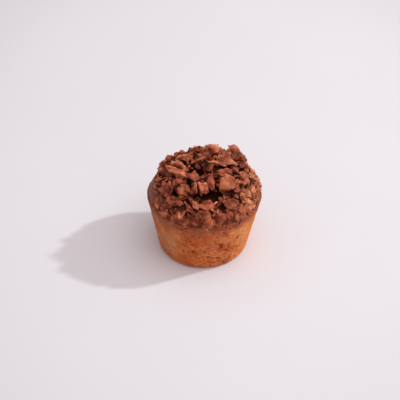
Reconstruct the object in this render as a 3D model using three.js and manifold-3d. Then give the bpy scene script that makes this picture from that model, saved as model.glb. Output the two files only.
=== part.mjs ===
// A small cup-shaped cake with a domed top, covered with a layer of milk chocolate and
// heaped with chocolate-coated wafer flakes. Millimetres, +Z up. The origin is the middle of
// the flat foot, the floor is z = 0, and the side that faces -Y is the front.

import * as THREE from "three";
import { mergeVertices } from "three/addons/utils/BufferGeometryUtils.js";
import Module from "manifold-3d";

const wasm = await Module();
wasm.setup();

// ---- driving dimensions ----------------------------------------------------------------

const RIM_HEIGHT = 33; // where the wall ends and the baked dome begins
const RIM_RADIUS = 29.4; // the cake at its widest
const RIM_ROUND = 0.8; // radius of the rim's edge
const FOOT_RADIUS = 23.1; // the wall's line carried down to the floor
const FOOT_CORNER = 3; // radius of the round edge between wall and foot
const DOME_RADIUS = 27.4; // the baked dome, inside the rim
const DOME_RISE = 11;
const LAYER_THICK = 0.9; // melted chocolate over the dome
const GAP = 0.3; // clearance between one piece and the next
const LEAN = 0.7; // the rim's middle lies this far to +X of the foot's

const HEAP_RADIUS = 28.8; // outline of the heap of flakes
const HEAP_RISE = 22; // its height above the rim
const CORE_RADIUS = 28.7; // what fills the heap under the flakes that show
const CORE_RISE = 16.8;
const CORE_BUMP = 1.1; // height of its bumps, which stand for the finer flakes
const FLAKE_THICK = 1.6;

const AROUND = 48; // sides of a round solid
const BREAKS = 7; // straight breaks round a flake
const SHARPNESS = 14; // of the corners between them
const GOLDEN = Math.PI * (3 - Math.sqrt(5)); // turn from one flake of a spiral to the next

// ---- shared forms -----------------------------------------------------------------------

const radians = THREE.MathUtils.degToRad;
const between = ([low, high], share) => low + (high - low) * share;
const vector = (at) => new THREE.Vector3(...at);

// The n-th repeatable draw of one row, from 0 to 1.
function draw(row, n) {
  const s = Math.sin(row * 12.9898 + n * 78.233) * 43758.5453;
  return s - Math.floor(s);
}

// Bends a point of a true round solid to the cake's uneven one: slightly oval, and leaning.
function uneven(p) {
  const angle = Math.atan2(p.y, p.x);
  const swell = 1 + 0.008 * Math.sin(2 * angle + 0.9) + 0.006 * Math.sin(3 * angle - 0.6);
  return p.set(p.x * swell + (LEAN * p.z) / RIM_HEIGHT, p.y * swell, p.z);
}

// A solid of revolution about Z from a profile of [radius, height] that goes up, with each
// vertex then moved by reshape.
function turned(profile, reshape = uneven) {
  const made = new THREE.LatheGeometry(
    profile.map(([r, z]) => new THREE.Vector2(r, z)),
    AROUND,
  );
  made.rotateX(Math.PI / 2);
  const at = made.attributes.position;
  const p = new THREE.Vector3();
  for (let i = 0; i < at.count; i++) {
    p.fromBufferAttribute(at, i);
    reshape(p);
    at.setXYZ(i, p.x, p.y, p.z);
  }
  return made;
}

function toSolid(geometry) {
  const bare = geometry.clone();
  bare.deleteAttribute("normal");
  bare.deleteAttribute("uv");
  const merged = mergeVertices(bare, 1e-3);
  return new wasm.Manifold(
    new wasm.Mesh({
      numProp: 3,
      vertProperties: merged.attributes.position.array,
      triVerts: new Uint32Array(merged.index.array),
    }),
  );
}

function toGeometry(solid) {
  const { vertProperties, triVerts } = solid.getMesh();
  const made = new THREE.BufferGeometry();
  made.setAttribute("position", new THREE.BufferAttribute(vertProperties, 3));
  made.setIndex(new THREE.BufferAttribute(triVerts, 1));
  made.computeVertexNormals();
  return made;
}

// Half an ellipse over the rim, from its edge up to the axis, as [radius, height] points.
function domeArc(radius, rise, steps) {
  return Array.from({ length: steps + 1 }, (_, i) => {
    const a = (Math.PI / 2) * (i / steps);
    return [radius * Math.cos(a), RIM_HEIGHT + rise * Math.sin(a)];
  });
}

const wallRadius = (z) => FOOT_RADIUS + ((RIM_RADIUS - FOOT_RADIUS) * z) / RIM_HEIGHT;

// ---- the cake ---------------------------------------------------------------------------

// Foot, round edge, leaning wall, rounded rim and baked dome.
function cake() {
  const lean = Math.atan2(RIM_RADIUS - FOOT_RADIUS, RIM_HEIGHT);
  const cornerRadius = wallRadius(FOOT_CORNER) - FOOT_CORNER / Math.cos(lean);
  const cornerSteps = 4;
  const corner = Array.from({ length: cornerSteps + 1 }, (_, i) => {
    const a = -Math.PI / 2 + ((Math.PI / 2 - lean) * i) / cornerSteps;
    return [cornerRadius + FOOT_CORNER * Math.cos(a), FOOT_CORNER * (1 + Math.sin(a))];
  });
  const wall = [0.3, 0.55, 0.8].map((share) => [wallRadius(share * RIM_HEIGHT), share * RIM_HEIGHT]);
  const rim = [0, 0.25, 0.5].map((quarter) => {
    const a = Math.PI * quarter;
    return [
      RIM_RADIUS - RIM_ROUND * (1 - Math.cos(a)),
      RIM_HEIGHT - RIM_ROUND * (1 - Math.sin(a)),
    ];
  });
  return turned([[0, 0], ...corner, ...wall, ...rim, ...domeArc(DOME_RADIUS, DOME_RISE, 6)]);
}

// ---- the chocolate layer ----------------------------------------------------------------

const LAYER_RADIUS = DOME_RADIUS + GAP + LAYER_THICK;
const LAYER_RISE = DOME_RISE + GAP + LAYER_THICK;

// It lies on the dome and ends, rounded, on the rim's flat top.
function layer() {
  const low = RIM_HEIGHT + GAP;
  const raised = ([r, z]) => [r, Math.max(z, low)];
  const inside = domeArc(DOME_RADIUS + GAP, DOME_RISE + GAP, 6).reverse().map(raised);
  const outside = domeArc(LAYER_RADIUS, LAYER_RISE, 7);
  outside[0] = [LAYER_RADIUS - LAYER_THICK / 3, low];
  return turned([...inside, ...outside]);
}

// ---- the flakes -------------------------------------------------------------------------

// The flakes that give the heap its shape, from the crest down. Each has its middle, the way
// its length runs and the way its broad side looks, both as degrees round from +X and degrees
// up, its length and width, and how far its ends and its sides bend towards the broad side,
// as a share of them.
const PLACED = {
  crest: [[5.5, 9, 52.5], [10, -8], [285, 40], [12, 7.5], [-0.1, -0.1]],
  crestLeft: [[2.3, 12.5, 51.6], [15, 10], [285, 35], [7, 4.5], [-0.1, 0]],
  rightCrest: [[16.6, 9, 51.4], [330, -35], [310, 40], [11.5, 8.5], [-0.22, -0.05]],
  spike: [[-4.4, 9.5, 52], [0, 88], [280, 5], [7, 2.6], [0.05, 0]],
  leftFlat: [[-9.5, 5, 51.5], [345, 15], [265, 50], [9.5, 5], [0.1, -0.05]],
  redPlate: [[-12, 10.5, 49.8], [10, 28], [270, 30], [5, 2.6], [0, -0.05]],
  leftRed: [[-18, 9.5, 46.6], [20, 15], [250, 30], [5.5, 4], [0, -0.1]],
  ridge: [[-1, 0.5, 53.6], [30, 3], [290, 50], [11, 3], [-0.05, 0]],
  finger: [[-13.5, -6, 50], [325, -8], [250, 50], [14.5, 4.4], [-0.05, -0.15]],
  behindFinger: [[-11.5, -2.2, 51], [322, -5], [255, 55], [10, 5], [0.05, -0.1]],
  plank: [[9, -2.5, 53.3], [10, 3], [85, 55], [15.5, 6], [0.03, 0]],
  abovePlank: [[11, 2.5, 52.5], [8, 0], [280, 62], [10, 6], [0.08, 0.05]],
  underPlank: [[10.8, -8.3, 52], [5, -5], [285, 50], [9, 5], [-0.05, 0.05]],
  rosyTop: [[-5.2, -11, 51.5], [350, -5], [290, 55], [7, 5], [-0.1, 0.1]],
  uprightRed: [[4.2, -14.2, 51], [270, -38], [330, 50], [9, 3.8], [-0.05, -0.15]],
  bigOval: [[12.8, -14.2, 49.5], [345, -22], [295, 42], [11.5, 9.5], [-0.16, -0.16]],
  paleLump: [[0, -17.5, 49.2], [290, -50], [300, 35], [8, 6], [-0.1, -0.1]],
  darkSide: [[-4.8, -17.6, 48.3], [280, -60], [205, 20], [8, 6], [0, 0]],
  orangeLump: [[-9.7, -17, 47.3], [300, -30], [255, 40], [8, 6], [-0.12, 0.1]],
  underFinger: [[-18.5, -3.4, 47.3], [320, -5], [240, 45], [9, 6], [0.1, -0.1]],
  leftTop: [[-20.7, 7, 45], [60, 30], [220, 40], [7, 5], [-0.1, 0]],
  curlLeft: [[-17.8, -13.2, 44.6], [330, 10], [225, 40], [9.5, 7.5], [0.22, 0.2]],
  leftMid: [[-13.5, -20, 42.6], [330, 0], [240, 35], [9, 5], [0.1, 0.1]],
  lowLeft: [[-21.5, -14.5, 37], [310, -10], [220, 20], [9, 5], [-0.08, 0]],
  diagonalLong: [[-7.4, -23.8, 42.2], [318, -32], [235, 25], [9, 3], [0, -0.05]],
  diagonalShort: [[-4.5, -23.6, 43.6], [318, -32], [240, 30], [6.5, 2.8], [0, -0.05]],
  rosy: [[1.2, -24, 43.7], [5, -6], [280, 42], [9, 6], [-0.1, 0.1]],
  belowRosy: [[0.6, -26.7, 39.4], [350, -10], [270, 30], [8, 5], [-0.08, 0.05]],
  rimmed: [[13.9, -21.4, 42.8], [10, -10], [300, 30], [10, 7.5], [0.1, 0.2]],
  rimShardLeft: [[9.2, -26, 38.4], [335, -45], [275, 30], [8, 3.5], [-0.05, 0]],
  rimShardRight: [[13.2, -24.6, 38.4], [300, -55], [295, 30], [7.5, 3.5], [0.05, 0]],
  rimFlat: [[-11.8, -25.2, 35.6], [333, -3], [245, 30], [13.5, 4.6], [-0.1, -0.05]],
  rightChunk: [[21, -6.6, 47.4], [320, -30], [330, 38], [7, 6.5], [-0.12, -0.12]],
  rightMid: [[20.2, -17, 42.2], [300, -40], [320, 35], [6.5, 4.5], [0.05, -0.1]],
};

// The rest lie on two spirals, the broad flakes underneath and the steep ones over them. Each
// spiral has its count of places, the angle from the top at which it ends, the flakes' length,
// their width as a share of it, how deep they are sunk and how far they tip up, in degrees.
const UNDERNEATH = {
  count: 46, end: 86, long: [9, 11], wide: [0.6, 0.85], sink: [0.4, 2], tip: [5, 35], row: 700,
};
const OVER = {
  count: 170, end: 86, long: [6, 10.5], wide: [0.4, 0.8], sink: [-0.6, 1.2], tip: [20, 80], row: 400,
};
const CLEAR = 4.4; // from the middle of a placed flake to that of one on the upper spiral
const OUTLIERS = [462, 483, 491]; // rows of drawn flakes that would stand far out of the heap

// The dark gaps of the heap. No drawn flake has its middle in one.
const GAPS = [
  { middle: [-3, -6.2, 52], clear: 5 },
  { middle: [-1.4, 3.7, 53.3], clear: 5 },
  { middle: [3.8, -20.6, 46.5], clear: 5.5 },
  { middle: [14.3, -17.7, 45.4], clear: 3.6 },
  { middle: [-9.5, -11.9, 50], clear: 3.6 },
  { middle: [-11.4, -21.7, 42.5], clear: 3.6 },
  { middle: [10.2, -23.4, 41.9], clear: 3.6 },
  { middle: [20.1, -17.8, 39.9], clear: 3.6 },
  { middle: [-24, -11.9, 37.1], clear: 3.6 },
  { middle: [-8.4, -25.1, 39.2], clear: 3.6 },
];
const DEEP = 4; // gaps with more clearance than this are opened into the core
const OPENED = 0.62; // radius of the opening, as a share of the clearance

// Where the heap thins out, as an angle from +X, half its width, and the share of the heap's
// height that the large flakes keep above: the chocolate layer lies bare at the left, and the
// low slope at the right has only fine flakes.
const BARE = { middle: 172, half: 33, above: 0.42 };
const SLOPE = { middle: 10, half: 50, above: 0.62 };

const inSector = ({ middle, half }, around) =>
  Math.cos(around - radians(middle)) > Math.cos(radians(half));

// A direction from degrees round from +X and degrees up.
function direction(degrees) {
  const [turn, lift] = degrees.map(radians);
  return vector([Math.cos(lift) * Math.cos(turn), Math.cos(lift) * Math.sin(turn), Math.sin(lift)]);
}

function placedFlake([at, runs, looks, [long, wide], [bend, cup]], i) {
  const face = direction(looks);
  const along = direction(runs).projectOnPlane(face).normalize();
  const across = face.clone().cross(along);
  return { row: 10 + i, middle: vector(at), along, across, face, long, wide, bend, cup };
}

// A flake of a spiral: hinged up out of the heap's outline by its tip angle about a drawn
// heading, turned in its own plane, and sunk to touch the outline.
function spiralFlake(kind, i) {
  const row = kind.row + i;
  const height = 1 - ((i + 0.5) / kind.count) * (1 - Math.cos(radians(kind.end)));
  const ring = Math.sqrt(1 - height * height);
  const around = i * GOLDEN + kind.row + 0.5 * (draw(row, 1) - 0.5);
  const [x, y] = [ring * Math.cos(around), ring * Math.sin(around)];
  const at = vector([HEAP_RADIUS * x, HEAP_RADIUS * y, RIM_HEIGHT + HEAP_RISE * height]);
  const out = vector([x / HEAP_RADIUS, y / HEAP_RADIUS, height / HEAP_RISE]).normalize();
  const round = vector([-Math.sin(around), Math.cos(around), 0]);
  const up = out.clone().cross(round);

  const turn = (first, second, angle) =>
    first.clone().multiplyScalar(Math.cos(angle)).addScaledVector(second, Math.sin(angle));
  const hinge = turn(round, up, 2 * Math.PI * draw(row, 2));
  const rising = turn(out.clone().cross(hinge), out, radians(between(kind.tip, draw(row, 3))));
  const face = hinge.clone().cross(rising);
  const along = turn(hinge, rising, 2 * Math.PI * draw(row, 4));
  const across = face.clone().cross(along);

  const long = between(kind.long, draw(row, 5));
  const wide = long * between(kind.wide, draw(row, 6));
  const reach = (long / 2) * Math.abs(along.dot(out)) + (wide / 2) * Math.abs(across.dot(out));
  const middle = uneven(at.addScaledVector(out, -0.8 * reach - between(kind.sink, draw(row, 7))));
  const thin = [BARE, SLOPE].some((sector) => inSector(sector, around) && height < sector.above);
  const [bend, cup] = [0.36 * (draw(row, 8) - 0.5), 0.36 * (draw(row, 9) - 0.5)];
  return { row, thin, middle, along, across, face, long, wide, bend, cup };
}

function allFlakes() {
  const placed = Object.values(PLACED).map(placedFlake);
  const spiral = (kind, clear) =>
    Array.from({ length: kind.count }, (_, i) => spiralFlake(kind, i)).filter(
      (flake) =>
        !flake.thin &&
        !OUTLIERS.includes(flake.row) &&
        placed.every((other) => other.middle.distanceTo(flake.middle) > clear) &&
        GAPS.every((gap) => vector(gap.middle).distanceTo(flake.middle) > gap.clear),
    );
  return [...placed, ...spiral(UNDERNEATH, 0), ...spiral(OVER, CLEAR)];
}

// A broken flake: a thin plate, curled along its length and across it, and twisted. Its
// corners lie midway between straight breaks, whose heading and distance are drawn. Each face
// is a fan, and a wall joins the two.
function flakeSolid({ row, middle, along, across, face, long, wide, bend, cup }) {
  const breaks = Array.from({ length: BREAKS }, (_, k) => ({
    facing: (2 * Math.PI * (k + 0.6 * (draw(row, 20 + k) - 0.5))) / BREAKS,
    away: 0.66 + 0.42 * draw(row, 30 + k),
  }));
  const twist = 0.2 * (draw(row, 10) - 0.5);
  const point = (out, angle, side) => {
    const x = out * Math.cos(angle);
    const y = out * Math.sin(angle);
    const lift = bend * long * x * x + cup * wide * y * y + twist * long * x * y;
    return middle
      .clone()
      .addScaledVector(along, (x * long) / 2)
      .addScaledVector(across, (y * wide) / 2)
      .addScaledVector(face, lift + (side * FLAKE_THICK) / 2);
  };
  const corner = (k, side) => {
    const [here, next] = [breaks[k % BREAKS], breaks[(k + 1) % BREAKS]];
    const step = (next.facing - here.facing + 2 * Math.PI) % (2 * Math.PI);
    const inner = (here.away ** -SHARPNESS + next.away ** -SHARPNESS) ** (-1 / SHARPNESS);
    return point(inner / Math.cos(step / 2), here.facing + step / 2, side);
  };
  const faces = [];
  for (let k = 0; k < BREAKS; k++) {
    const [a, b, c, d] = [corner(k, 1), corner(k, -1), corner(k + 1, -1), corner(k + 1, 1)];
    faces.push(point(0, 0, 1), a, d, point(0, 0, -1), c, b, a, b, c, a, c, d);
  }
  return toSolid(new THREE.BufferGeometry().setFromPoints(faces));
}

// ---- the heap ---------------------------------------------------------------------------

// The core's dome has bumps of the finer flakes' size, and draws in under the bare patch.
function coreShape(p) {
  const around = Math.atan2(p.y, p.x);
  const fade = (Math.cos(around - radians(BARE.middle)) - Math.cos(radians(BARE.half))) / 0.1;
  const drawnIn = 1 - 0.16 * THREE.MathUtils.clamp(fade, 0, 1);
  const row = Math.round(p.x * 10) + Math.round(p.y * 10) * 7;
  const bump = (CORE_BUMP * draw(row, 40)) / CORE_RADIUS;
  p.set(p.x * (drawnIn + bump), p.y * (drawnIn + bump), p.z + bump * (p.z - RIM_HEIGHT));
  return uneven(p);
}

// The flakes are fused onto the core, the gaps opened, and all cut clear of cake and layer.
function heap() {
  const under = RIM_HEIGHT - 4;
  const dome = domeArc(CORE_RADIUS, CORE_RISE, 10);
  const core = turned([[0, under], [CORE_RADIUS - 1, under], ...dome], coreShape);
  const low = RIM_HEIGHT + GAP;
  const overLayer = domeArc(LAYER_RADIUS + GAP, LAYER_RISE + GAP, 7);
  const beneath = turned([
    [0, 0],
    [FOOT_RADIUS + GAP, 0],
    [RIM_RADIUS + GAP, RIM_HEIGHT - RIM_ROUND],
    [RIM_RADIUS, RIM_HEIGHT],
    ...overLayer.map(([r, z]) => [r, Math.max(z, low)]),
  ]);
  const holes = GAPS.filter(({ clear }) => clear > DEEP).map(({ middle, clear }) => {
    const hole = new THREE.IcosahedronGeometry(OPENED * clear, 1);
    return toSolid(hole.translate(...middle));
  });
  const opened = toSolid(core).subtract(wasm.Manifold.union(holes));
  const joined = wasm.Manifold.union([opened, ...allFlakes().map(flakeSolid)]);
  const bodies = joined.subtract(toSolid(beneath)).decompose();
  bodies.sort((a, b) => b.volume() - a.volume());
  return toGeometry(bodies[0]);
}

// ---- the finished piece -----------------------------------------------------------------

function piece(name, geometry, color, roughness) {
  const look = new THREE.MeshStandardMaterial({ color, roughness, metalness: 0 });
  const made = new THREE.Mesh(geometry, look);
  made.name = name;
  return made;
}

const finished = new THREE.Group();
finished.add(
  piece("cake", cake(), 0xb87242, 0.8),
  piece("chocolate_layer", layer(), 0x5b3528, 0.5),
  piece("flake_heap", heap(), 0x8a5640, 0.55),
);

export default finished;
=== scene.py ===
"""A small cup-shaped cake under a layer of milk chocolate, heaped with coated wafer flakes.

Everything is in metres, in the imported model's frame: the foot stands on z = 0, and the side
that faces -Y is the front.
"""

import math

import bpy
import numpy as np
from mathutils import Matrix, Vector


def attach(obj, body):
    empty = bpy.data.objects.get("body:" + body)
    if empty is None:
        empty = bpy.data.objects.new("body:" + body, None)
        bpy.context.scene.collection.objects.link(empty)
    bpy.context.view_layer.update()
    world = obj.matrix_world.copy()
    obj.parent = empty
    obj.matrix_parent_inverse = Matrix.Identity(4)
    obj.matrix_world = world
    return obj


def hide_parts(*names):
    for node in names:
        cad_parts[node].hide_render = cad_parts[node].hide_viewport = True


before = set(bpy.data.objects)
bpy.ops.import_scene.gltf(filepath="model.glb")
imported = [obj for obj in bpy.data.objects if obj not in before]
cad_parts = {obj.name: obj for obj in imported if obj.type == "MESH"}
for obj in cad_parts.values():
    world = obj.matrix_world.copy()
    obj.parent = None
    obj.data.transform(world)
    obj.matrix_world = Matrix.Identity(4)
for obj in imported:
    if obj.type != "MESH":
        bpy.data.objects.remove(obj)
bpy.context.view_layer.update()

# ---- the camera ------------------------------------------------------------------------------
# A long lens looks down at the cake from the front. The cake sits a little right of the
# picture's middle and below it, so the camera is aimed that much past it.

MM = 0.001
LOOK_DOWN = math.radians(39)
DISTANCE = 600 * MM
LOOK_AT = Vector((0, 0, 20 * MM))
AIM_LEFT = 1.7 * MM
AIM_ABOVE = 5.8 * MM
LENS = 102.9
SENSOR = 36  # millimetres across, which the lens is for

camera = bpy.data.objects.new("camera", bpy.data.cameras.new("camera"))
bpy.context.scene.collection.objects.link(camera)
back = Vector((0, -math.cos(LOOK_DOWN), math.sin(LOOK_DOWN)))
above = Vector((0, math.sin(LOOK_DOWN), math.cos(LOOK_DOWN)))
camera.location = LOOK_AT + back * DISTANCE + above * AIM_ABOVE - Vector((AIM_LEFT, 0, 0))
camera.rotation_euler = (math.pi / 2 - LOOK_DOWN, 0, 0)
camera.data.lens = LENS
camera.data.sensor_width = SENSOR
camera.data.clip_start = 10 * MM
bpy.context.scene.camera = camera

# ---- the light -------------------------------------------------------------------------------
# A small lamp, low at the right and a little behind, throws a clear shadow to the left. A wide
# window above it on the same side, and the pale room all round, fill that shadow softly.


def light_from(name, turn, height_angle, away, across, power, color):
    """A round lamp that faces the cake. Its direction is in degrees, turned from +X towards +Y
    and then up, and it is away metres off."""
    made = bpy.data.objects.new(name, bpy.data.lights.new(name, "AREA"))
    bpy.context.scene.collection.objects.link(made)
    level = math.cos(math.radians(height_angle))
    toward = Vector((
        level * math.cos(math.radians(turn)),
        level * math.sin(math.radians(turn)),
        math.sin(math.radians(height_angle)),
    ))
    made.location = toward * away
    made.rotation_euler = toward.to_track_quat("Z", "Y").to_euler()
    made.data.shape = "DISK"
    made.data.size = across
    made.data.energy = power
    made.data.color = color


light_from(
    "lamp", turn=10.5, height_angle=41.5, away=1.6, across=0.08, power=10.4,
    color=(0.90, 1.0, 1.0),
)
light_from(
    "window", turn=-35, height_angle=68, away=1.3, across=1.4, power=5.7,
    color=(1.0, 0.96, 0.97),
)

ROOM_LIGHT = (0.57, 0.53, 0.54)

world = bpy.data.worlds.new("room")
world.use_nodes = True
world.node_tree.nodes["Background"].inputs["Color"].default_value = (*ROOM_LIGHT, 1)
world.node_tree.nodes["Background"].inputs["Strength"].default_value = 1.0
bpy.context.scene.world = world
bpy.context.scene.view_settings.view_transform = "Standard"

# ---- the table top ---------------------------------------------------------------------------
# A plain, pale, matt sheet that the cake stands on. It is coloured a little darker well away
# from the cake, as if less of the room's light fell there.

FLOOR_ACROSS = 6.0
FLOOR_COLOR = (0.80, 0.775, 0.80)
FLOOR_COLOR_DARK = tuple(0.985 * part for part in FLOOR_COLOR)
PALE_BEHIND = 100 * MM  # from the cake to the middle of the sheet's palest part
PALE_WIDE = 230 * MM  # one measure to the side of that middle
PALE_DEEP = 370 * MM  # and one to the front or the back
SHEET_DARKENS = ((0.42, 1.0), (0.55, 0.98), (0.74, 0.92))  # (measures off the middle, share)


def material(name, roughness, specular):
    """A new material, with its nodes, its links and its Principled shader."""
    made = bpy.data.materials.new(name)
    made.use_nodes = True
    nodes = made.node_tree.nodes
    shader = nodes["Principled BSDF"]
    shader.inputs["Roughness"].default_value = roughness
    shader.inputs["Specular IOR Level"].default_value = specular
    return made, nodes, made.node_tree.links, shader


def noise_texture(nodes, links, size, detail=3.0, roughness=0.55):
    """Noise in the object's own coordinates, with patches about size metres across."""
    where = nodes.new("ShaderNodeTexCoord")
    made = nodes.new("ShaderNodeTexNoise")
    made.inputs["Scale"].default_value = 1 / size
    made.inputs["Detail"].default_value = detail
    made.inputs["Roughness"].default_value = roughness
    links.new(where.outputs["Object"], made.inputs["Vector"])
    return made.outputs["Fac"]


def ramp(nodes, links, value, *stops):
    """A colour for a value: stops are (value, (r, g, b)) pairs."""
    made = nodes.new("ShaderNodeValToRGB")
    elements = made.color_ramp.elements
    while len(elements) < len(stops):
        elements.new(0.5)
    for element, (at, color) in zip(elements, stops):
        element.position = at
        element.color = (*color, 1)
    links.new(value, made.inputs["Fac"])
    return made.outputs["Color"]


def mix(nodes, links, share, first, second, how="MIX"):
    """Two colours mixed by a share. Each of the three is a socket or a constant."""
    made = nodes.new("ShaderNodeMix")
    made.data_type = "RGBA"
    made.blend_type = how
    sockets = made.inputs[0], made.inputs[6], made.inputs[7]  # the factor and the two colours
    for socket, value in zip(sockets, (share, first, second)):
        if isinstance(value, bpy.types.NodeSocket):
            links.new(value, socket)
        elif isinstance(value, tuple):
            socket.default_value = (*value, 1)
        else:
            socket.default_value = value
    return made.outputs[2]


bpy.ops.mesh.primitive_circle_add(vertices=64, radius=FLOOR_ACROSS / 2, fill_type="NGON")
floor = bpy.context.object
floor.name = "table_top"
paper, nodes, links, shader = material("pale_table", roughness=0.9, specular=0.1)
grain = noise_texture(nodes, links, 90 * MM, detail=2)
sheet = ramp(nodes, links, grain, (0.3, FLOOR_COLOR_DARK), (0.7, FLOOR_COLOR))
where = nodes.new("ShaderNodeTexCoord")
centred = nodes.new("ShaderNodeMapping")
centred.inputs["Location"].default_value = (0, -PALE_BEHIND / PALE_DEEP, 0)
centred.inputs["Scale"].default_value = (1 / PALE_WIDE, 1 / PALE_DEEP, 0)
links.new(where.outputs["Object"], centred.inputs["Vector"])
off_middle = nodes.new("ShaderNodeVectorMath")
off_middle.operation = "LENGTH"
links.new(centred.outputs["Vector"], off_middle.inputs[0])
darker = ramp(
    nodes, links, off_middle.outputs["Value"],
    *((off, (share, share, share)) for off, share in SHEET_DARKENS),
)
links.new(mix(nodes, links, 1.0, sheet, darker, "MULTIPLY"), shader.inputs["Base Color"])
floor.data.materials.append(paper)

# ---- the cake --------------------------------------------------------------------------------
# A moist butter sponge baked in a plain tapered mould. The mould has left its wall smooth and
# golden, with small open pores where bubbles touched the metal, and the top has domed.

RIM_HEIGHT = 33 * MM
RIM_RADIUS = 29.4 * MM
RIM_ROUND = 0.8 * MM
FOOT_RADIUS = 23.1 * MM
FOOT_CORNER = 3.0 * MM
DOME_RADIUS = 27.4 * MM
DOME_RISE = 11 * MM
LEAN = 0.7 * MM  # the rim's middle lies this far to +X of the foot's

TURN = 2 * math.pi
CAKE_AROUND = 660
CAKE_WALL_ROWS = 122
LUMP_DEPTH = 0.5 * MM
PORE_DEPTH = 1.05 * MM
FOLD_DEPTH = 0.35 * MM
FINE_PORES = dict(size=1.6 * MM, share=0.45, radius=0.75 * MM)
WIDE_PORES = dict(size=2.9 * MM, share=0.7, radius=1.3 * MM, n=20)
FLAT_BELOW = 1.5 * MM  # down from here, the relief fades out towards the flat foot
MOST_POROUS = np.array([0.5, -0.8, -0.35])  # low at the front, a little to the right
BACK_ALIKE = -0.35  # from this far back, the crust is porous alike
NOISE_SHIFT = 100.5  # in cells, so that no corner of a cell lies on the cake's axes
PIT_WARP = 0.3  # in cells, how far noise moves the outline of a pit


def lattice(cell, n):
    """The n-th repeatable draw, from 0 to 1, of each whole-number cell in space: the fraction
    of a large sine."""
    s = np.sin(cell @ np.array([127.1, 311.7, 74.7]) + n * 19.19) * 43758.5453
    return s - np.floor(s)


def smooth_noise(points, size, n=0):
    """Value noise from -1 to 1: each cell corner has a draw, blended by smoothed distance."""
    at = points / size + NOISE_SHIFT
    cell = np.floor(at)
    part = at - cell
    part = part * part * (3 - 2 * part)
    total = np.zeros(points.shape[:-1])
    for corner in np.ndindex(2, 2, 2):
        weight = np.prod(np.where(np.array(corner) == 1, part, 1 - part), axis=-1)
        total += weight * lattice(cell + corner, n)
    return 2 * total - 1


def pits(points, size, share, radius, n=0):
    """How deep each point lies in pits, from 0 to 1. A share of the cells of a lattice each
    hold one pit, with its middle, its radius and its depth drawn for the cell. The pits would
    be round, but space is warped by noise before they are laid out."""
    warp = np.stack([smooth_noise(points, 0.9 * size, n=n + k) for k in (7, 8, 9)], axis=-1)
    at = points / size + PIT_WARP * warp + NOISE_SHIFT
    home = np.floor(at)
    deepest = np.zeros(points.shape[:-1])
    for step in np.ndindex(3, 3, 3):
        cell = home + np.array(step) - 1
        middle = cell + np.stack([lattice(cell, n + k) for k in (1, 2, 3)], axis=-1)
        wide = radius / size * (0.55 + 0.75 * lattice(cell, n + 4) ** 2)
        near = np.clip(1 - (np.linalg.norm(at - middle, axis=-1) / wide) ** 2, 0, 1)
        there = lattice(cell, n + 5) < share
        deepest = np.maximum(deepest, there * near * (0.5 + 0.5 * lattice(cell, n + 6)))
    return deepest


def uneven(points):
    """Bends a true round form to the cake's: slightly oval, and leaning with height."""
    angle = np.arctan2(points[..., 1], points[..., 0])
    swell = 1 + 0.008 * np.sin(2 * angle + 0.9) + 0.006 * np.sin(3 * angle - 0.6)
    bent = points.copy()
    bent[..., 0] = points[..., 0] * swell + LEAN * points[..., 2] / RIM_HEIGHT
    bent[..., 1] = points[..., 1] * swell
    return bent


def grid_faces(rows, around):
    """Quads of a grid that closes on itself round, with a triangle fan at each end's pole.
    Point 0 is the first pole, then come the rows, and the last point is the other pole."""
    i = np.arange(around)
    j = (i + 1) % around
    first = 1 + np.arange(rows - 1)[:, None] * around
    quads = np.stack([first + i, first + j, first + around + j, first + around + i], axis=-1)
    last = 1 + (rows - 1) * around
    start = np.stack([np.zeros_like(i), j + 1, i + 1], axis=-1)
    end = np.stack([last + i, last + j, np.full_like(i, last + around)], axis=-1)
    return quads.reshape(-1, 4), np.concatenate([start, end])


def mesh_object(name, points, quads, triangles, **attributes):
    """An object at the origin from whole arrays of points and faces, smooth shaded, with each
    named array kept as a number at every point."""
    loops = np.concatenate([quads.ravel(), triangles.ravel()]).astype(np.int32)
    starts = np.concatenate([
        np.arange(len(quads)) * 4,
        len(quads) * 4 + np.arange(len(triangles)) * 3,
    ]).astype(np.int32)
    mesh = bpy.data.meshes.new(name)
    mesh.vertices.add(len(points))
    mesh.vertices.foreach_set("co", points.astype(np.float32).ravel())
    mesh.loops.add(len(loops))
    mesh.loops.foreach_set("vertex_index", loops)
    mesh.polygons.add(len(starts))
    mesh.polygons.foreach_set("loop_start", starts)
    mesh.polygons.foreach_set("use_smooth", np.ones(len(starts), bool))
    mesh.update(calc_edges=True)
    mesh.validate()
    for label, values in attributes.items():
        kept_values = mesh.attributes.new(label, "FLOAT", "POINT")
        kept_values.data.foreach_set("value", values.astype(np.float32).ravel())
    made = bpy.data.objects.new(name, mesh)
    bpy.context.scene.collection.objects.link(made)
    return made


def along_profile(profile, steps):
    """Points at even steps along a profile of [radius, height] corners."""
    profile = np.array(profile)
    reach = np.concatenate([[0], np.cumsum(np.linalg.norm(np.diff(profile, axis=0), axis=1))])
    at = np.linspace(0, reach[-1], steps)
    return np.stack([np.interp(at, reach, profile[:, k]) for k in (0, 1)], axis=-1)


def arc(middle, radius, start, end, steps=16):
    """Points of a part of an ellipse with radius = (across, up), from angle to angle."""
    angle = np.linspace(start, end, steps)
    across = middle[0] + radius[0] * np.cos(angle)
    return np.stack([across, middle[1] + radius[1] * np.sin(angle)], axis=-1)


def turned(profile, around):
    """Points of the profile carried round Z, as an array (row, angle, 3)."""
    angle = np.arange(around) / around * TURN
    ring = profile[:, None, 0]
    height = np.broadcast_to(profile[:, None, 1], (len(profile), around))
    return np.stack([ring * np.cos(angle), ring * np.sin(angle), height], axis=-1)


def outward(points):
    """The direction out of a grid of points (row, angle, 3) that goes up its outside."""
    round_ = np.roll(points, -1, axis=1) - np.roll(points, 1, axis=1)
    up = np.gradient(points, axis=0)
    out = np.cross(round_, up)
    return out / np.maximum(np.linalg.norm(out, axis=-1, keepdims=True), 1e-12)


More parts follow.
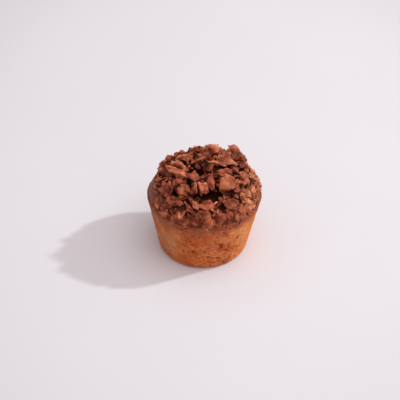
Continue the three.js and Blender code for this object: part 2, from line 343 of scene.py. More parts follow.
def with_poles(grid):
    """The grid's points as one list, with the middle of its first and last row at the ends."""
    first, last = grid[0].mean(0, keepdims=True), grid[-1].mean(0, keepdims=True)
    return np.concatenate([first, grid.reshape(-1, grid.shape[-1]), last])


def wall_radius(height):
    """The wall's radius, which grows evenly with height from the foot's to the rim's."""
    return FOOT_RADIUS + (RIM_RADIUS - FOOT_RADIUS) * height / RIM_HEIGHT


def cake_profile():
    """Foot, round edge, leaning wall, round rim and dome, from the foot's middle to the top."""
    lean = math.atan2(RIM_RADIUS - FOOT_RADIUS, RIM_HEIGHT)
    corner = wall_radius(FOOT_CORNER) - FOOT_CORNER / math.cos(lean)
    foot = [[0.6 * corner, 0], [corner, 0]]
    edge = arc((corner, FOOT_CORNER), (FOOT_CORNER, FOOT_CORNER), -math.pi / 2, -lean)
    rim_middle = (RIM_RADIUS - RIM_ROUND, RIM_HEIGHT - RIM_ROUND)
    rim = arc(rim_middle, (RIM_ROUND, RIM_ROUND), 0, math.pi / 2, 8)
    dome = arc((0, RIM_HEIGHT), (DOME_RADIUS, DOME_RISE), 0, 0.3, 6)
    side = along_profile(np.concatenate([foot, edge, rim, dome]), CAKE_WALL_ROWS)
    top = arc((0, RIM_HEIGHT), (DOME_RADIUS, DOME_RISE), 0.4, 1.5, 12)
    return np.concatenate([[[0.3 * corner, 0]], side, top])


cake_points = uneven(turned(cake_profile(), CAKE_AROUND))
on_wall = np.clip(cake_points[..., 2] / FLAT_BELOW, 0, 1)
toward_front = np.maximum(cake_points @ MOST_POROUS / RIM_RADIUS, BACK_ALIKE)
porous = np.clip(0.4 + 0.6 * smooth_noise(cake_points, 9 * MM, n=3) + 0.7 * toward_front, 0.2, 1)
fine_pores = pits(cake_points, **FINE_PORES)
wide_pores = pits(cake_points * (1, 1, 1.15), **WIDE_PORES)
pores = np.maximum(fine_pores, wide_pores) * np.clip(2.2 * (porous - 0.3), 0, 1)
folds = np.clip(1 - 4 * np.abs(smooth_noise(cake_points * (1, 1, 3), 9 * MM, n=5)), 0, 1) * porous
swells = (
    0.5 * smooth_noise(cake_points * (1, 1, 1.6), 13 * MM, n=1)
    + 0.32 * smooth_noise(cake_points * (1, 1, 1.8), 5 * MM, n=2)
    + 0.18 * smooth_noise(cake_points, 1.6 * MM, n=4)
)
relief = on_wall * (LUMP_DEPTH * swells - PORE_DEPTH * pores - FOLD_DEPTH * folds)
cake_points = cake_points + outward(cake_points) * relief[..., None]
cake = mesh_object(
    "cake_crumb",
    with_poles(cake_points),
    *grid_faces(len(cake_points), CAKE_AROUND),
    pore=with_poles(pores[..., None]),
    open=with_poles(porous[..., None]),
    fold=with_poles(folds[..., None]),
)

GOLDEN_CRUST = (0.56, 0.135, 0.030)
PALE_CRUST = (0.60, 0.195, 0.062)
DEEP_CRUST = (0.50, 0.100, 0.018)
BROWN_BAND = (0.24, 0.056, 0.021)
PAINTED_SIDE_LIGHT = (-20 * MM, 22 * MM)  # left to right: painted light, paler at the lamp's right
BAND_FROM = 24.6 * MM  # the browner band under the chocolate, at the front
BAND_TO = 33 * MM
BAND_SLANT = 0.015  # it reaches lower at the left than at the right
BAND_RAGGED = 9 * MM
WHITE = (1.0, 1.0, 1.0)


def math_node(nodes, links, how, *values):
    """The result of one sum. Each value is a socket or a number."""
    made = nodes.new("ShaderNodeMath")
    made.operation = how
    for socket, value in zip(made.inputs, values):
        if isinstance(value, bpy.types.NodeSocket):
            links.new(value, socket)
        else:
            socket.default_value = value
    return made.outputs[0]


def position(nodes, links):
    """The X, Y and Z of a point of the surface, as sockets by name."""
    where = nodes.new("ShaderNodeTexCoord")
    parts = nodes.new("ShaderNodeSeparateXYZ")
    links.new(where.outputs["Object"], parts.inputs[0])
    return parts.outputs


def point_value(nodes, label):
    """The number that the mesh keeps at its points under a label, as a socket."""
    made = nodes.new("ShaderNodeAttribute")
    made.attribute_name = label
    return made.outputs["Fac"]


def between(nodes, links, value, low, high):
    """How far a value has come from low to high, from 0 to 1."""
    made = nodes.new("ShaderNodeMapRange")
    links.new(value, made.inputs["Value"])
    made.inputs["From Min"].default_value = low
    made.inputs["From Max"].default_value = high
    return made.outputs[0]


def bump(nodes, links, shader, height, depth, after=None):
    """Bump of a height from 0 to 1, depth metres deep, on the shader's normal."""
    made = nodes.new("ShaderNodeBump")
    made.inputs["Distance"].default_value = depth
    links.new(height, made.inputs["Height"])
    if after is not None:
        links.new(after, made.inputs["Normal"])
    links.new(made.outputs["Normal"], shader.inputs["Normal"])
    return made.outputs["Normal"]


crust, nodes, links, shader = material("baked_crust", roughness=0.6, specular=0.18)
patches = ramp(
    nodes, links, noise_texture(nodes, links, 11 * MM, detail=5, roughness=0.65),
    (0.38, DEEP_CRUST), (0.5, GOLDEN_CRUST), (0.62, PALE_CRUST),
)
specks = ramp(
    nodes, links, noise_texture(nodes, links, 1.8 * MM, detail=4, roughness=0.6),
    (0.33, (0.64, 0.49, 0.36)), (0.44, (0.96, 0.94, 0.90)), (0.56, (1.02, 1.02, 1.03)),
    (0.65, (1.42, 1.80, 2.25)),
)
flecked = mix(nodes, links, point_value(nodes, "open"), patches, specks, "MULTIPLY")
# Painted shade, darker in the folds pressed into the crust.
fold_shade = ramp(
    nodes, links, point_value(nodes, "fold"),
    (0.1, WHITE), (0.8, (0.80, 0.66, 0.52)),
)
creased = mix(nodes, links, 1.0, flecked, fold_shade, "MULTIPLY")
pore_shade_and_lip_highlight = ramp(  # painted shade in a pore, painted highlight on its thin lip
    nodes, links, point_value(nodes, "pore"),
    (0.0, WHITE), (0.1, (1.22, 1.38, 1.58)), (0.24, (0.88, 0.77, 0.66)),
    (0.6, (0.64, 0.49, 0.36)),
)
pitted = mix(nodes, links, 1.0, creased, pore_shade_and_lip_highlight, "MULTIPLY")
at = position(nodes, links)
# Painted light: the crust is coloured brighter and paler at the right, where the lamp falls, and
# duller at the left, in shade.
side_light_paint = ramp(
    nodes, links, between(nodes, links, at["X"], *PAINTED_SIDE_LIGHT),
    (0.0, (0.86, 0.96, 1.03)), (0.55, (1.01, 0.93, 0.82)), (0.75, (1.02, 0.98, 0.93)),
    (1.0, (1.30, 1.50, 1.42)),
)
shaded = mix(nodes, links, 1.0, pitted, side_light_paint, "MULTIPLY")
blotches = noise_texture(nodes, links, 7 * MM, detail=4)
ragged = math_node(nodes, links, "MULTIPLY_ADD", blotches, BAND_RAGGED, at["Z"])
slanted = math_node(nodes, links, "MULTIPLY_ADD", at["X"], -BAND_SLANT, ragged)
half = BAND_RAGGED / 2
band = between(nodes, links, slanted, BAND_FROM + half, BAND_TO + half)
links.new(mix(nodes, links, band, shaded, BROWN_BAND), shader.inputs["Base Color"])
fine_bumps = noise_texture(nodes, links, 0.9 * MM, detail=4)
wide_bumps = noise_texture(nodes, links, 3 * MM, detail=2)
under = bump(nodes, links, shader, fine_bumps, 0.3 * MM)
bump(nodes, links, shader, wide_bumps, 0.35 * MM, after=under)
cake.data.materials.append(crust)
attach(cake, "root")
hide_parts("cake")

# ---- the chocolate layer ---------------------------------------------------------------------
# Milk chocolate spread warm over the baked dome, up to the rim. It has set smooth, with a soft
# shine, and lies bare at the left.

GAP = 0.3 * MM
LAYER_THICK = 0.9 * MM
LAYER_RADIUS = DOME_RADIUS + GAP + LAYER_THICK
LAYER_RISE = DOME_RISE + GAP + LAYER_THICK
LAYER_SINK = 0.1 * MM  # of its edge into the cake's top
LAYER_RIPPLE = 0.22 * MM
LAYER_AROUND = 420


def layer_profile():
    """Down the inside from the top to the edge, round the edge, and up the outside."""
    low = RIM_HEIGHT - LAYER_SINK
    inside = arc((0, RIM_HEIGHT), (DOME_RADIUS + GAP, DOME_RISE + GAP), 1.5, 0.05, 24)
    edge = [[DOME_RADIUS + GAP, low], [LAYER_RADIUS - LAYER_THICK / 3, low]]
    outside = arc((0, low), (LAYER_RADIUS, LAYER_RISE + RIM_HEIGHT - low), 0.03, 1.5, 40)
    return np.concatenate([inside, edge, outside])


layer_points = uneven(turned(layer_profile(), LAYER_AROUND))
ripples = (
    0.7 * smooth_noise(layer_points, 6 * MM, n=7)
    + 0.3 * smooth_noise(layer_points, 2 * MM, n=8)
)
layer_points += outward(layer_points) * (LAYER_RIPPLE * ripples)[..., None]
layer = mesh_object(
    "chocolate_layer_set",
    with_poles(layer_points),
    *grid_faces(len(layer_points), LAYER_AROUND),
)

CHOCOLATE = (0.17, 0.042, 0.028)
CHOCOLATE_PALE = (0.21, 0.056, 0.037)

milk_chocolate, nodes, links, shader = material("milk_chocolate", roughness=0.5, specular=0.22)
mottle = noise_texture(nodes, links, 5 * MM, detail=4)
chocolate_color = ramp(nodes, links, mottle, (0.4, CHOCOLATE), (0.65, CHOCOLATE_PALE))
links.new(chocolate_color, shader.inputs["Base Color"])
bump(nodes, links, shader, noise_texture(nodes, links, 1.2 * MM, detail=4), 0.2 * MM)
layer.data.materials.append(milk_chocolate)
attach(layer, "root")
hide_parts("chocolate_layer")

# ---- the bed of the heap ---------------------------------------------------------------------
# Chocolate and fine flakes pressed together, which the large flakes are stuck into. It shows in
# the gaps between them: brown along the rim, and painted nearly black higher up, as painted shade
# in the deep gaps. At the left it keeps in from the rim, where the chocolate layer lies bare.

BED_RADIUS = 28.8 * MM
BED_RISE = 12.7 * MM
BED_BOTTOM = RIM_HEIGHT - 1 * MM
BED_AROUND = 300
BED_ROUGH = 0.6 * MM
BARE_MIDDLE = math.radians(172)
BARE_HALF = math.radians(33)
BARE_DRAWN_IN = 0.16  # share of its radius that the bed keeps in by
BARE_FADE = 0.2  # difference in cosine over which it starts to

bed_profile = np.concatenate([
    [[0.3 * BED_RADIUS, BED_BOTTOM], [0.9 * BED_RADIUS, BED_BOTTOM]],
    arc((0, RIM_HEIGHT), (BED_RADIUS, BED_RISE), 0.03, 1.5, 70),
])
bed_points = turned(bed_profile, BED_AROUND)
angle = np.arctan2(bed_points[..., 1], bed_points[..., 0])
in_bare = np.cos(angle - BARE_MIDDLE) - math.cos(1.3 * BARE_HALF)
bed_points[..., :2] *= 1 - BARE_DRAWN_IN * np.clip(in_bare / BARE_FADE, 0, 1)[..., None]
bed_points = uneven(bed_points)
rough = (
    0.6 * smooth_noise(bed_points, 4.5 * MM, n=11)
    + 0.3 * smooth_noise(bed_points, 2.2 * MM, n=12)
    + 0.15 * smooth_noise(bed_points, 1 * MM, n=13)
)
above_rim = np.clip((bed_points[..., 2] - RIM_HEIGHT) / (4 * MM), 0, 1)
bed_points += outward(bed_points) * (above_rim * BED_ROUGH * rough)[..., None]
bed = mesh_object("heap_bed", with_poles(bed_points), *grid_faces(len(bed_points), BED_AROUND))

# Painted shade: the bed is coloured near black where it shows in the deep gaps.
BED_PAINTED_SHADE = (0.015, 0.003, 0.001)
BED_PAINTED_SHADE_PALE = (0.045, 0.009, 0.003)
BED_AT_RIM = (0.14, 0.034, 0.015)
BED_SHADE_HEIGHTS = (36 * MM, 41 * MM)  # heights: from the rim's colour to the gaps' painted shade

pressed, nodes, links, shader = material("pressed_flakes_painted_shade", roughness=0.7, specular=0.05)
mottle = noise_texture(nodes, links, 2.5 * MM, detail=4)
bed_shade = ramp(nodes, links, mottle, (0.4, BED_PAINTED_SHADE), (0.65, BED_PAINTED_SHADE_PALE))
upward = between(nodes, links, position(nodes, links)["Z"], *BED_SHADE_HEIGHTS)
links.new(mix(nodes, links, upward, BED_AT_RIM, bed_shade), shader.inputs["Base Color"])
bump(nodes, links, shader, noise_texture(nodes, links, 1.2 * MM, detail=4), 0.8 * MM)
bed.data.materials.append(pressed)
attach(bed, "root")
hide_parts("flake_heap")

# ---- the large flakes ------------------------------------------------------------------------
# Brittle sheets of thin wafer, broken by hand, tossed in milk chocolate and heaped before it
# set. They lie and stand at every angle, stuck where they touch, with deep gaps between.

HEAP_RADIUS = 28.8 * MM
HEAP_RISE = 22 * MM
FLAKE_THICK = 1.6 * MM
EDGES = 7  # straight breaks round a flake
EDGE_TURN = 0.6  # how much the way that a break faces is drawn, as a share of their spacing
EDGE_NEAR = 0.66  # the nearest a break lies to the middle, as a share of half the length
EDGE_SPREAD = 0.42  # how much further out it may be drawn
SHARPNESS = 24  # of the corners between the breaks
LOBES = 0.05  # how far the outline waves in and out, three times round, as a share
NOTCHES = 0.08  # the same nine times round, at most
BEND = 0.36  # how far a drawn flake's bends range, as a share of its size
TWIST = 0.2
RIPPLE = 0.045  # depths of two crossing ripples, as shares of a flake's length
CROSS_RIPPLE = 0.035
LUMPS = 0.3  # how much the thickness changes, as a share
CRAG_DEPTH = 0.8 * MM
CRAGS = 2.6 * MM  # across
SMALL_CRAGS = 1.2 * MM
GOLDEN = math.pi * (3 - math.sqrt(5))  # turn from one flake of a spiral to the next
CLEAR = 4.4 * MM  # from the middle of a placed flake to that of a drawn one
OUTLIERS = (462, 483, 491)  # rows of drawn flakes that would stand far out of the heap
BARE_BELOW = 0.42  # flakes keep above this share of the heap's height over the bare chocolate
SLOPE_MIDDLE = math.radians(10)  # only fine flakes lie on the low slope at the right
SLOPE_HALF = math.radians(50)
SLOPE_BELOW = 0.62

# The dark gaps of the heap, in millimetres: the middle of each, and how far round it no drawn
# flake has its own middle.
GAPS = np.array([
    (-3, -6.2, 52, 5), (-1.4, 3.7, 53.3, 5), (3.8, -20.6, 46.5, 5.5), (14.3, -17.7, 45.4, 3.6),
    (-9.5, -11.9, 50, 3.6), (-11.4, -21.7, 42.5, 3.6), (10.2, -23.4, 41.9, 3.6),
    (20.1, -17.8, 39.9, 3.6), (-24, -11.9, 37.1, 3.6), (-8.4, -25.1, 39.2, 3.6),
]) * MM

# The flakes that give the heap its shape, from the crest down. Each has its middle in
# millimetres, the way its length runs and the way its broad side looks, both as degrees round
# from +X and degrees up, its length and width, how far its ends and its sides bend towards
# the broad side, as a share of them, and its tint, from 0 for the darkest to 1.
PLACED = {
    "crest": ((5.5, 9, 52.5), (10, -8), (285, 40), (12, 7.5), (-0.1, -0.1), 1.0),
    "crest_left": ((2.3, 12.5, 51.6), (15, 10), (285, 35), (7, 4.5), (-0.1, 0), 0.95),
    "right_crest": ((16.6, 9, 51.4), (330, -35), (310, 40), (11.5, 8.5), (-0.22, -0.05), 0.75),
    "spike": ((-4.4, 9.5, 52), (0, 88), (280, 5), (7, 2.6), (0.05, 0), 0.9),
    "left_flat": ((-9.5, 5, 51.5), (345, 15), (265, 50), (9.5, 5), (0.1, -0.05), 0.9),
    "red_plate": ((-12, 10.5, 49.8), (10, 28), (270, 30), (5, 2.6), (0, -0.05), 0.55),
    "left_red": ((-18, 9.5, 46.6), (20, 15), (250, 30), (5.5, 4), (0, -0.1), 0.6),
    "ridge": ((-1, 0.5, 53.6), (30, 3), (290, 50), (11, 3), (-0.05, 0), 0.75),
    "finger": ((-13.5, -6, 50), (325, -8), (250, 50), (14.5, 4.4), (-0.05, -0.15), 0.95),
    "behind_finger": ((-11.5, -2.2, 51), (322, -5), (255, 55), (10, 5), (0.05, -0.1), 0.9),
    "plank": ((9, -2.5, 53.3), (10, 3), (85, 55), (15.5, 6), (0.03, 0), 0.85),
    "above_plank": ((11, 2.5, 52.5), (8, 0), (280, 62), (10, 6), (0.08, 0.05), 0.8),
    "under_plank": ((10.8, -8.3, 52), (5, -5), (285, 50), (9, 5), (-0.05, 0.05), 0.55),
    "rosy_top": ((-5.2, -11, 51.5), (350, -5), (290, 55), (7, 5), (-0.1, 0.1), 0.6),
    "upright_red": ((4.2, -14.2, 51), (270, -38), (330, 50), (9, 3.8), (-0.05, -0.15), 0.55),
    "big_oval": ((12.8, -14.2, 49.5), (345, -22), (295, 42), (11.5, 9.5), (-0.16, -0.16), 0.8),
    "pale_lump": ((0, -17.5, 49.2), (290, -50), (300, 35), (8, 6), (-0.1, -0.1), 1.0),
    "dark_side": ((-4.8, -17.6, 48.3), (280, -60), (205, 20), (8, 6), (0, 0), 0.3),
    "orange_lump": ((-9.7, -17, 47.3), (300, -30), (255, 40), (8, 6), (-0.12, 0.1), 0.7),
    "under_finger": ((-18.5, -3.4, 47.3), (320, -5), (240, 45), (9, 6), (0.1, -0.1), 0.55),
    "left_top": ((-20.7, 7, 45), (60, 30), (220, 40), (7, 5), (-0.1, 0), 0.7),
    "curl_left": ((-17.8, -13.2, 44.6), (330, 10), (225, 40), (9.5, 7.5), (0.22, 0.2), 0.5),
    "left_mid": ((-13.5, -20, 42.6), (330, 0), (240, 35), (9, 5), (0.1, 0.1), 0.3),
    "low_left": ((-21.5, -14.5, 37), (310, -10), (220, 20), (9, 5), (-0.08, 0), 0.4),
    "diagonal_long": ((-7.4, -23.8, 42.2), (318, -32), (235, 25), (9, 3), (0, -0.05), 0.55),
    "diagonal_short": ((-4.5, -23.6, 43.6), (318, -32), (240, 30), (6.5, 2.8), (0, -0.05), 0.7),
    "rosy": ((1.2, -24, 43.7), (5, -6), (280, 42), (9, 6), (-0.1, 0.1), 0.62),
    "below_rosy": ((0.6, -26.7, 39.4), (350, -10), (270, 30), (8, 5), (-0.08, 0.05), 0.4),
    "rimmed": ((13.9, -21.4, 42.8), (10, -10), (300, 30), (10, 7.5), (0.1, 0.2), 0.3),
    "rim_shard_left": ((9.2, -26, 38.4), (335, -45), (275, 30), (8, 3.5), (-0.05, 0), 0.7),
    "rim_shard_right": ((13.2, -24.6, 38.4), (300, -55), (295, 30), (7.5, 3.5), (0.05, 0), 0.55),
    "rim_flat": ((-11.8, -25.2, 35.6), (333, -3), (245, 30), (13.5, 4.6), (-0.1, -0.05), 0.5),
    "right_chunk": ((21, -6.6, 47.4), (320, -30), (330, 38), (7, 6.5), (-0.12, -0.12), 0.85),
    "right_mid": ((20.2, -17, 42.2), (300, -40), (320, 35), (6.5, 4.5), (0.05, -0.1), 0.85),
}


def draw(row, n):
    """The n-th repeatable draw of a row, from 0 to 1: the fraction of a large sine."""
    s = np.sin(np.asarray(row, float) * 12.9898 + n * 78.233) * 43758.5453
    return s - np.floor(s)


def rotated(first, second, angle):
    """The direction at an angle from the first to the second of two square directions."""
    return np.cos(angle)[:, None] * first + np.sin(angle)[:, None] * second


def dot(first, second):
    """The sum of the products of two vectors' parts, for each pair of vectors."""
    return np.sum(first * second, axis=-1, keepdims=True)


def unit(vectors):
    """Each vector divided by its own length."""
    return vectors / np.linalg.norm(vectors, axis=-1, keepdims=True)


def direction(degrees):
    """Directions from pairs of degrees round from +X and degrees up."""
    turn, lift = np.radians(degrees).T
    level = np.cos(lift)
    return np.stack([level * np.cos(turn), level * np.sin(turn), np.sin(lift)], axis=-1)


def placed_flakes():
    """The placed flakes. The way each runs is made square to the way its broad side looks."""
    middle, runs, looks, size, bend, tint = (
        np.array(part, float) for part in zip(*PLACED.values())
    )
    face = direction(looks)
    along = direction(runs)
    along = unit(along - dot(along, face) * face)
    return dict(
        row=10.0 + np.arange(len(PLACED)), middle=middle * MM, along=along,
        across=np.cross(face, along), face=face, long=size[:, 0] * MM, wide=size[:, 1] * MM,
        bend=bend[:, 0], cup=bend[:, 1], thick=np.full(len(PLACED), FLAKE_THICK), tint=tint,
    )


def spiral_flakes(
    count, dome, apex, long, wide, sink, tip, thick, row, ragged=0, slope_below=SLOPE_BELOW
):
    """Flakes on a spiral over a dome of (radius, rise), evenly spread between two angles from
    its top, in degrees. Each is hinged up out of the surface by its tip angle about a drawn
    heading, turned in its own plane, and sunk to touch the dome. long and sink are in
    millimetres, wide is a share of long, and tip is in degrees, each from low to high. ragged
    is how far the edges of the bare and the sloping sector are spread, in radians."""
    i = np.arange(count)
    rows = row + i

    def drawn(pair, n):
        return pair[0] + (pair[1] - pair[0]) * draw(rows, n)

    first, last = (math.cos(math.radians(a)) for a in apex)
    height = first - (i + 0.5) / count * (first - last)
    ring = np.sqrt(1 - height * height)
    around = i * GOLDEN + row + 0.5 * (draw(rows, 1) - 0.5)
    cos, sin = np.cos(around), np.sin(around)
    radius, rise = dome
    at = np.stack([radius * ring * cos, radius * ring * sin, RIM_HEIGHT + rise * height], -1)
    out = unit(np.stack([ring * cos / radius, ring * sin / radius, height / rise], -1))
    round_ = np.stack([-sin, cos, 0 * cos], -1)
    hinge = rotated(round_, np.cross(out, round_), TURN * draw(rows, 2))
    rising = rotated(np.cross(out, hinge), out, np.radians(drawn(tip, 3)))
    face = np.cross(hinge, rising)
    along = rotated(hinge, rising, TURN * draw(rows, 4))
    across = np.cross(face, along)
    length = drawn(long, 5)[:, None] * MM
    width = length * drawn(wide, 6)[:, None]
    reach = length / 2 * np.abs(dot(along, out)) + width / 2 * np.abs(dot(across, out))
    middle = uneven(at - out * (0.8 * reach + drawn(sink, 7)[:, None] * MM))
    flakes = dict(
        row=rows, middle=middle, along=along, across=across, face=face, long=length[:, 0],
        wide=width[:, 0], bend=BEND * (draw(rows, 8) - 0.5), cup=BEND * (draw(rows, 9) - 0.5),
        thick=np.full(count, thick), tint=draw(rows, 17),
    )
    spread = around + ragged * (draw(rows, 18) - 0.5)
    bare = (np.cos(spread - BARE_MIDDLE) > math.cos(BARE_HALF)) & (height < BARE_BELOW)
    slope = (np.cos(spread - SLOPE_MIDDLE) > math.cos(SLOPE_HALF)) & (height < slope_below)
    return flakes, bare, slope


def only(flakes, keep):
    """The flakes for which keep is true."""
    return {name: values[keep] for name, values in flakes.items()}


def joined(*groups):
    """Groups of flakes as one, in their order."""
    return {name: np.concatenate([group[name] for group in groups]) for name in groups[0]}


def near(flakes, points, within):
    """Whether each flake's middle lies within its distance of any of the points."""
    return (np.linalg.norm(flakes["middle"][:, None] - points, axis=-1) < within).any(axis=1)


def flake_grids(flakes, rings, around):
    """The points of every flake, as an array (flake, row, angle, 4). The fourth number tells
    how far the point is raised above its flake's mean surface, from 0 to 1.

    The outline at an angle is where the nearest of several straight breaks lies, with rounded
    corners. The middle surface is bent along, across and in a twist, and ripples, and the two
    faces are lumpy. Rows go from the middle of one face over the edge to the other's."""
    row = flakes["row"][:, None]
    angle = np.arange(around) / around * TURN
    breaks = 0
    for k in range(EDGES):
        facing = TURN * (k + EDGE_TURN * (draw(row, 20 + k) - 0.5)) / EDGES
        away = EDGE_NEAR + EDGE_SPREAD * draw(row, 30 + k)
        breaks = breaks + (np.maximum(np.cos(angle - facing), 0) / away) ** SHARPNESS
    outline = breaks ** (-1 / SHARPNESS)
    outline = outline * (1 + LOBES * np.sin(3 * angle + TURN * draw(row, 11)))
    outline = outline * (1 + NOTCHES * draw(row, 19) * np.sin(9 * angle + TURN * draw(row, 12)))
    slope = (np.arange(rings) + 0.5) * math.pi / rings
    share = np.sqrt(np.sin(slope))
    side = np.sign(np.cos(slope)) * np.sqrt(np.abs(np.cos(slope)))
    x = share[:, None] * (outline * np.cos(angle))[:, None, :]
    y = share[:, None] * (outline * np.sin(angle))[:, None, :]
    row = row[:, None]
    along, across, face = (flakes[name][:, None, None, :] for name in ("along", "across", "face"))
    sizes = (flakes[name][:, None, None] for name in ("long", "wide", "bend", "cup", "thick"))
    long, wide, bend, cup, thick = sizes
    ripple = RIPPLE * long * np.sin(4 * x + 2 * y + TURN * draw(row, 13))
    ripple = ripple + CROSS_RIPPLE * long * np.sin(5 * y - 3 * x + TURN * draw(row, 14))
    lump = 1 + LUMPS * np.sin(7 * x + TURN * draw(row, 15)) * np.sin(6 * y + TURN * draw(row, 16))
    twist = TWIST * long * (draw(row, 10) - 0.5)
    lift = bend * long * x * x + cup * wide * y * y + twist * x * y + ripple
    lift = lift + side[:, None] * thick / 2 * lump * (1.15 - 0.5 * share[:, None] ** 2)
    flat = (x * long / 2)[..., None] * along + (y * wide / 2)[..., None] * across
    points = flakes["middle"][:, None, None, :] + flat + lift[..., None] * face
    crags = 0.6 * smooth_noise(points, CRAGS, n=31) + 0.4 * smooth_noise(points, SMALL_CRAGS, n=32)
    edgeward = (x * share[:, None])[..., None] * along + (y * share[:, None])[..., None] * across
    facing_out = side[:, None, None] * face + edgeward
    points = points + facing_out * (CRAG_DEPTH * crags)[..., None]
    return np.concatenate([points, np.clip(0.5 + crags, 0, 1)[..., None]], axis=-1)


def cells(points):
    """The whole-number cell of the heap's box that each point lies in."""
    at = np.floor((points - CELLS_FROM) / CELL).astype(int)
    return tuple(np.clip(at, 0, np.array(CELL_COUNT) - 1).T)


def buried(points, filled):
    """The share of the open air over each point that flakes close by block, from 0 to 1. It
    looks along fixed ways, and counts each by how far it points out of the heap."""
    out = unit((points - (LEAN, 0, RIM_HEIGHT)) / (HEAP_RADIUS**2, HEAP_RADIUS**2, HEAP_RISE**2))
    blocked = weights = 0
    for k in range(WAYS):
        up = (k + 0.5) / WAYS
        level = math.sqrt(1 - up * up)
        way = np.array([level * math.cos(k * GOLDEN), level * math.sin(k * GOLDEN), up])
        weight = np.clip(out @ way, 0, 1)
        met = np.zeros(len(points), bool)
        for reach in REACHES:
            met |= filled[cells(points + way * reach)]
        blocked = blocked + weight * met
        weights = weights + weight
    return blocked / weights


def flakes_object(name, flakes, rings, around):
    """One object of all the flakes, each closed. Each point keeps its flake's tint, how far it
    is buried among the flakes, how near its flake's edge it is and how far it is raised."""
    grids = flake_grids(flakes, rings, around)
    count = len(grids)
    first, last = grids[:, 0].mean(1, keepdims=True), grids[:, -1].mean(1, keepdims=True)
    each = np.concatenate([first, grids.reshape(count, -1, 4), last], axis=1)
    quads, triangles = grid_faces(rings, around)
    step = np.arange(count)[:, None, None] * each.shape[1]
    points = each[..., :3].reshape(-1, 3)
    edge = 1 - np.abs(np.cos((np.arange(rings) + 0.5) * math.pi / rings))
    edge = np.concatenate([[0], np.repeat(edge, around), [0]])
    return mesh_object(
        name, points,
        (quads[:, ::-1] + step).reshape(-1, 4), (triangles[:, ::-1] + step).reshape(-1, 3),
        tint=np.repeat(flakes["tint"], each.shape[1]),
        buried=buried(points, filled),
        edge=np.tile(edge, count),
        raised=each[..., 3],
    )


placed = placed_flakes()
gap_middles, gap_clear = GAPS[:, :3], GAPS[:, 3]
lower, bare, slope = spiral_flakes(
    160, dome=(28.6 * MM, 19.8 * MM), apex=(0, 88), long=(7, 10.5), wide=(0.5, 0.85),
    sink=(0.6, 2.2), tip=(5, 45), thick=FLAKE_THICK, row=100,
)
lower = only(lower, ~bare & ~slope & ~near(lower, gap_middles, 1.2 * gap_clear))
upper, bare, slope = spiral_flakes(
    170, dome=(HEAP_RADIUS, HEAP_RISE), apex=(0, 86), long=(6, 10.5), wide=(0.4, 0.8),
    sink=(-0.6, 1.2), tip=(20, 80), thick=FLAKE_THICK, row=400,
)
crowded = near(upper, placed["middle"], CLEAR) | near(upper, gap_middles, gap_clear)
crowded |= np.isin(upper["row"], OUTLIERS)
upper = joined(placed, only(upper, ~bare & ~slope & ~crowded))

CELL = 1.2 * MM  # of a box of cells over the heap, each either filled by a flake or free
CELLS_FROM = (-37 * MM, -37 * MM, 27 * MM)
CELL_COUNT = (62, 62, 32)
WAYS = 20  # directions in which a buried point looks for flakes
REACHES = [2.2 * MM, 3.2 * MM, 4.4 * MM, 6.0 * MM]  # how far off it looks in each

filled = np.zeros(CELL_COUNT, bool)
flake_points = flake_grids(joined(lower, upper), rings=12, around=30)[..., :3]
filled[cells(flake_points.reshape(-1, 3))] = True
lower_flakes = flakes_object("lower_flakes", lower, rings=12, around=28)
upper_flakes = flakes_object("upper_flakes", upper, rings=18, around=44)

FLAKE_DARK = (0.26, 0.046, 0.012)
FLAKE_BROWN = (0.38, 0.092, 0.029)
FLAKE_RED = (0.44, 0.091, 0.040)
FLAKE_ORANGE = (0.53, 0.148, 0.055)
FLAKE_PALE = (0.79, 0.240, 0.115)


def flake_material(name, *tints):
    """Matt coated wafer. A flake has one of the tints, mottled. Painted shade darkens it where it
    is deep in the heap and in its own hollows, and a painted highlight makes its thin edges and
    its raised bumps paler."""
    made, nodes, links, shader = material(name, roughness=0.42, specular=0.3)

    def shade(label, *stops):
        return ramp(nodes, links, point_value(nodes, label), *stops)

    mottle = ramp(
        nodes, links, noise_texture(nodes, links, 1.6 * MM, detail=5, roughness=0.65),
        (0.38, (0.76, 0.69, 0.66)), (0.62, (1.13, 1.14, 1.14)),
    )
    # Painted highlight on the thin edges.
    edge = shade("edge", (0.6, (0.95, 0.94, 0.93)), (0.95, (1.3, 1.45, 1.6)))
    # Painted highlight on raised bumps, painted shade in the flake's own hollows.
    raised = shade(
        "raised",
        (0.2, (0.68, 0.56, 0.48)), (0.5, (1.0, 0.98, 0.97)), (0.8, (1.22, 1.38, 1.52)),
    )
    # Painted shade where flakes close by block the open air.
    deep = shade(
        "buried", (0.1, WHITE), (0.4, (0.6, 0.46, 0.38)), (0.8, (0.2, 0.09, 0.05)),
    )
    color = shade("tint", *tints)
    for change in (mottle, edge, raised, deep):
        color = mix(nodes, links, 1.0, color, change, "MULTIPLY")
    links.new(color, shader.inputs["Base Color"])
    fine_bumps = noise_texture(nodes, links, 0.7 * MM, detail=4)
    wide_bumps = noise_texture(nodes, links, 2 * MM, detail=3)
    under = bump(nodes, links, shader, fine_bumps, 0.45 * MM)
    bump(nodes, links, shader, wide_bumps, 0.6 * MM, after=under)
    return made


coated = flake_material(
    "coated_flakes",
    (0.1, FLAKE_DARK), (0.4, FLAKE_BROWN), (0.58, FLAKE_RED), (0.8, FLAKE_ORANGE),
    (1.0, FLAKE_PALE),
)
for flakes_made in (lower_flakes, upper_flakes):
    flakes_made.data.materials.append(coated)
    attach(flakes_made, "root")

# ---- the small shards ------------------------------------------------------------------------
# Smaller bits of the same coated wafer, broken off the large flakes. They are caught in the
# gaps between them, and lie close along the rim. Crumbs cling to the cake under it, in front.

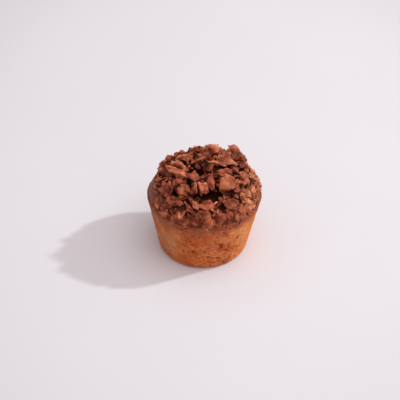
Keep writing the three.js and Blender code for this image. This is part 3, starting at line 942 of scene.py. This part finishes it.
CRUMBS_WAY = np.array([0.5, -0.87, 0])  # the crumbs lie round this side of the cake
CRUMBS_FROM = 0.88 * RIM_RADIUS  # and are at least this far out that way

caught, bare, slope = spiral_flakes(
    420, dome=(28.0 * MM, 20.4 * MM), apex=(0, 86), long=(2.8, 6.0), wide=(0.3, 0.6),
    sink=(-0.3, 1.4), tip=(15, 80), thick=0.9 * MM, row=2000,
)
caught = only(caught, ~bare & ~slope & ~near(caught, gap_middles, 0.8 * gap_clear))
rim, bare, slope = spiral_flakes(
    420, dome=(29.0 * MM, 15.5 * MM), apex=(64, 92), long=(3, 6.5), wide=(0.4, 0.75),
    sink=(-0.5, 0.4), tip=(10, 60), thick=1.1 * MM, row=5000, ragged=0.5,
)
rim = only(rim, ~bare & ~slope)
crumbs, _, _ = spiral_flakes(
    1100, dome=(29.4 * MM, 15 * MM), apex=(88, 107), long=(0.8, 2.0), wide=(0.5, 0.9),
    sink=(-0.2, 0.3), tip=(5, 60), thick=0.6 * MM, row=7000,
)
crumbs = only(crumbs, crumbs["middle"] @ CRUMBS_WAY > CRUMBS_FROM)
small_shards = flakes_object("small_shards", joined(caught, rim, crumbs), rings=8, around=14)
small_shards.data.materials.append(coated)
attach(small_shards, "root")

# ---- the fine flakes -------------------------------------------------------------------------
# Crushed flakes that have slid down the right of the heap and stuck there, close together.
# They are coloured paler than the rest as painted light, where the lamp falls on this slope.

# Painted light: colours made paler for the lamp-lit right slope.
FINE_BROWN_LIT = (0.345, 0.085, 0.030)
FINE_PALE_LIT = (0.71, 0.255, 0.113)
FINE_BELOW = 0.9  # they start this far up, under the last large flakes

fine, _, slope = spiral_flakes(
    2300, dome=(28.6 * MM, 14.2 * MM), apex=(26, 92), long=(2.4, 4.8), wide=(0.45, 0.8),
    sink=(-0.8, 0.4), tip=(15, 65), thick=0.9 * MM, row=3000, ragged=0.6,
    slope_below=FINE_BELOW,
)
fine_flakes = flakes_object("fine_flakes", only(fine, slope), rings=8, around=14)
crushed_painted_light = flake_material("fine_flakes", (0.1, FINE_BROWN_LIT), (0.9, FINE_PALE_LIT))
fine_flakes.data.materials.append(crushed_painted_light)
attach(fine_flakes, "root")
